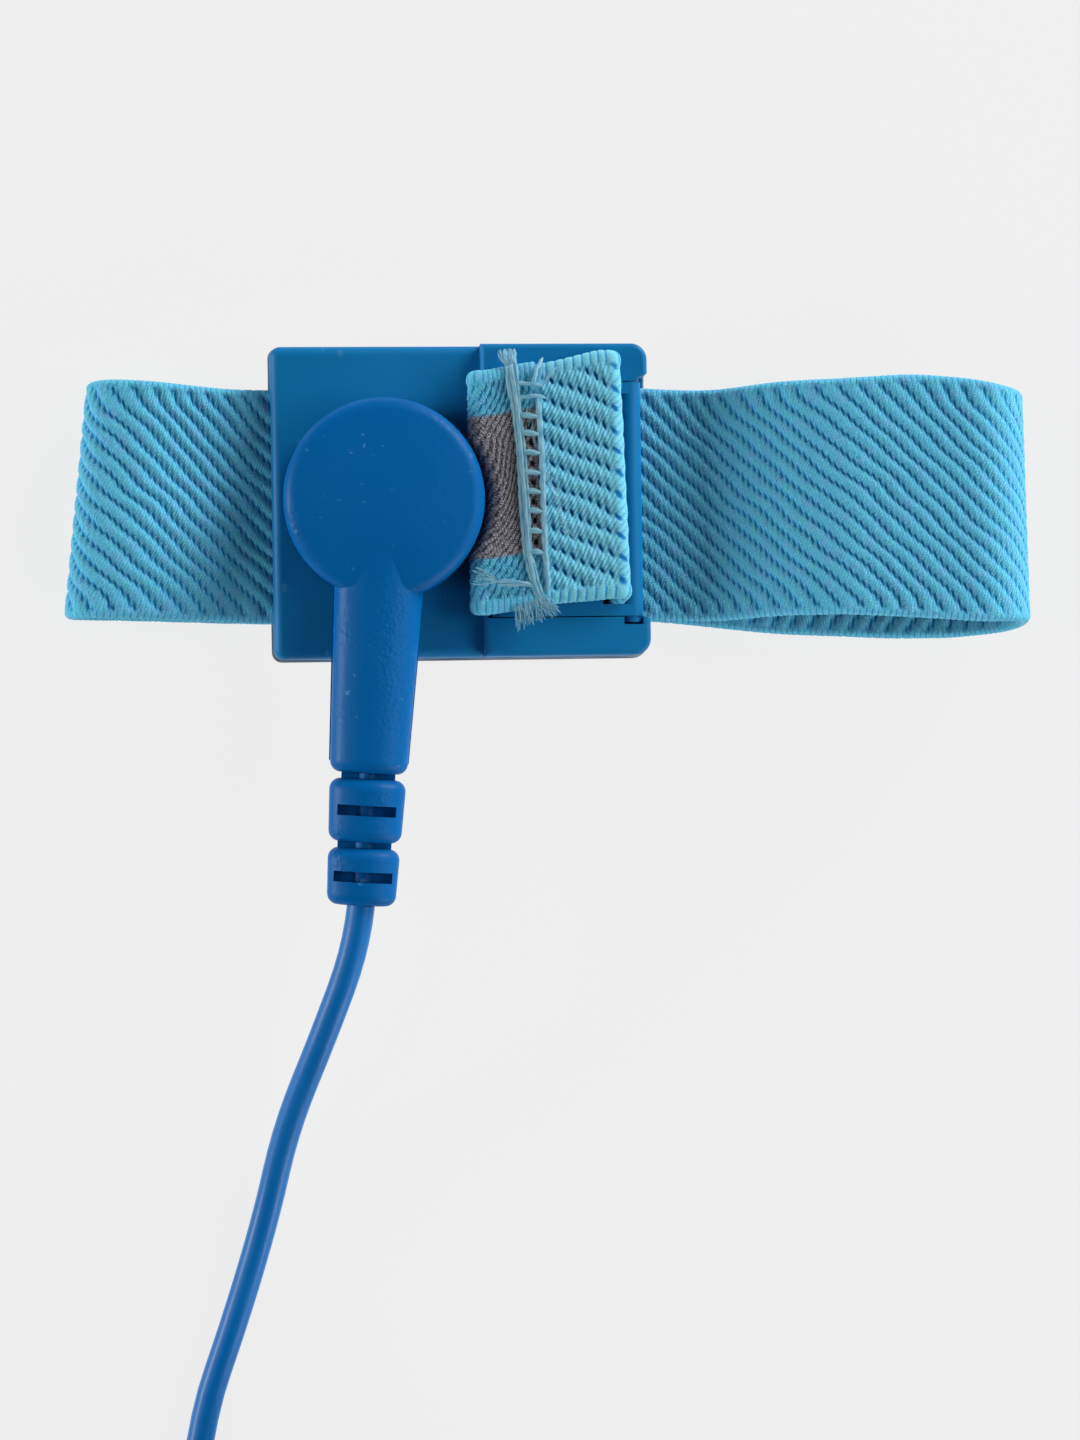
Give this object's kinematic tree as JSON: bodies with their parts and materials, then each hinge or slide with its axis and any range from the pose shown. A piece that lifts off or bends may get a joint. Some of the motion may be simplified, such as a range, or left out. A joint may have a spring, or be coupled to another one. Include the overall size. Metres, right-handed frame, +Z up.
{
  "type": "esd wrist strap",
  "caption": "Elastic fabric wrist band in a hinged-lever clasp with a snap stud, worn with a resistor lead that has a swivelling snap head, a plug and a clip.",
  "frame": {"origin": "on the surface that the strap lies on, under the axis of the snap stud", "axes": "+X along the band towards the clasp, +Z up along the snap axis, and the lead leaves towards -Y"},
  "size_m": [0.0915, 0.1605, 0.0119],
  "materials": {
    "skin_steel": "fine brushed stainless steel",
    "case_plastic": "satin moulded plastic, fine spark-eroded grain",
    "snap_metal": "bright nickel plate",
    "band_fabric": "covered elastic, ribbed across",
    "clear_thread": "clear nylon sewing thread",
    "spring_steel": "drawn spring wire and strip",
    "terminal_brass": "plain brass and tinned copper",
    "resistor_lacquer": "lacquered resistor body",
    "head_plastic": "soft moulded plastic, satin",
    "cord_jacket": "smooth extruded jacket, slight sheen",
    "tie_plastic": "plastic coated twist tie",
    "clip_steel": "nickel-plated pressed steel"
  },
  "bodies": {
    "strap": {"back_plate": "skin_steel", "housing_cover": "case_plastic", "snap_stud": "snap_metal", "stud_post": "snap_metal", "band_loop": "band_fabric"},
    "clasp": {"clasp_lever": "case_plastic", "band_tail": "band_fabric", "hem_thread": "clear_thread"},
    "snap_ring": {"socket_spring": "spring_steel"},
    "lead": {"head_moulding": "head_plastic", "snap_socket": "snap_metal", "socket_rivet": "snap_metal", "terminal_tag": "terminal_brass", "resistor_body": "resistor_lacquer", "resistor_leads": "terminal_brass", "crimp_ferrules": "terminal_brass", "cord_core": "terminal_brass", "cord_run": "cord_jacket", "cord_coil": "cord_jacket", "coil_tie": "tie_plastic", "cord_tail": "cord_jacket", "plug_boot": "head_plastic", "plug_pin": "snap_metal", "plug_leaf": "spring_steel"},
    "clip": {"clip_fixed_jaw": "clip_steel", "clip_pivot": "snap_metal", "clip_spring": "spring_steel"},
    "clip_jaw": {"clip_moving_jaw": "clip_steel"}
  },
  "joints": [
    {"name": "clasp_lift", "type": "hinge", "parent": "strap", "child": "clasp", "pos_m": [0.0216, 0, 0.0062], "axis": [0, 1, 0], "range_deg": [0, 70]},
    {"name": "snap_pull", "type": "slide", "parent": "strap", "child": "snap_ring", "axis": [0, 0, 1], "range_m": [0, 0.012]},
    {"name": "head_swivel", "type": "hinge", "parent": "snap_ring", "child": "lead", "pos_m": [0, 0, 0.0088], "axis": [0, 0, 1], "range_deg": [-192, 21]},
    {"name": "clip_slide", "type": "slide", "parent": "lead", "child": "clip", "axis": [1, 0, 0], "range_m": [0, 0.016]},
    {"name": "jaw_open", "type": "hinge", "parent": "clip", "child": "clip_jaw", "pos_m": [0.0429, -0.1425, 0.00395], "axis": [0, 0, 1], "range_deg": [0, 18], "stiffness_Nm_per_rad": 0.02, "springref_deg": -17.19}
  ]
}
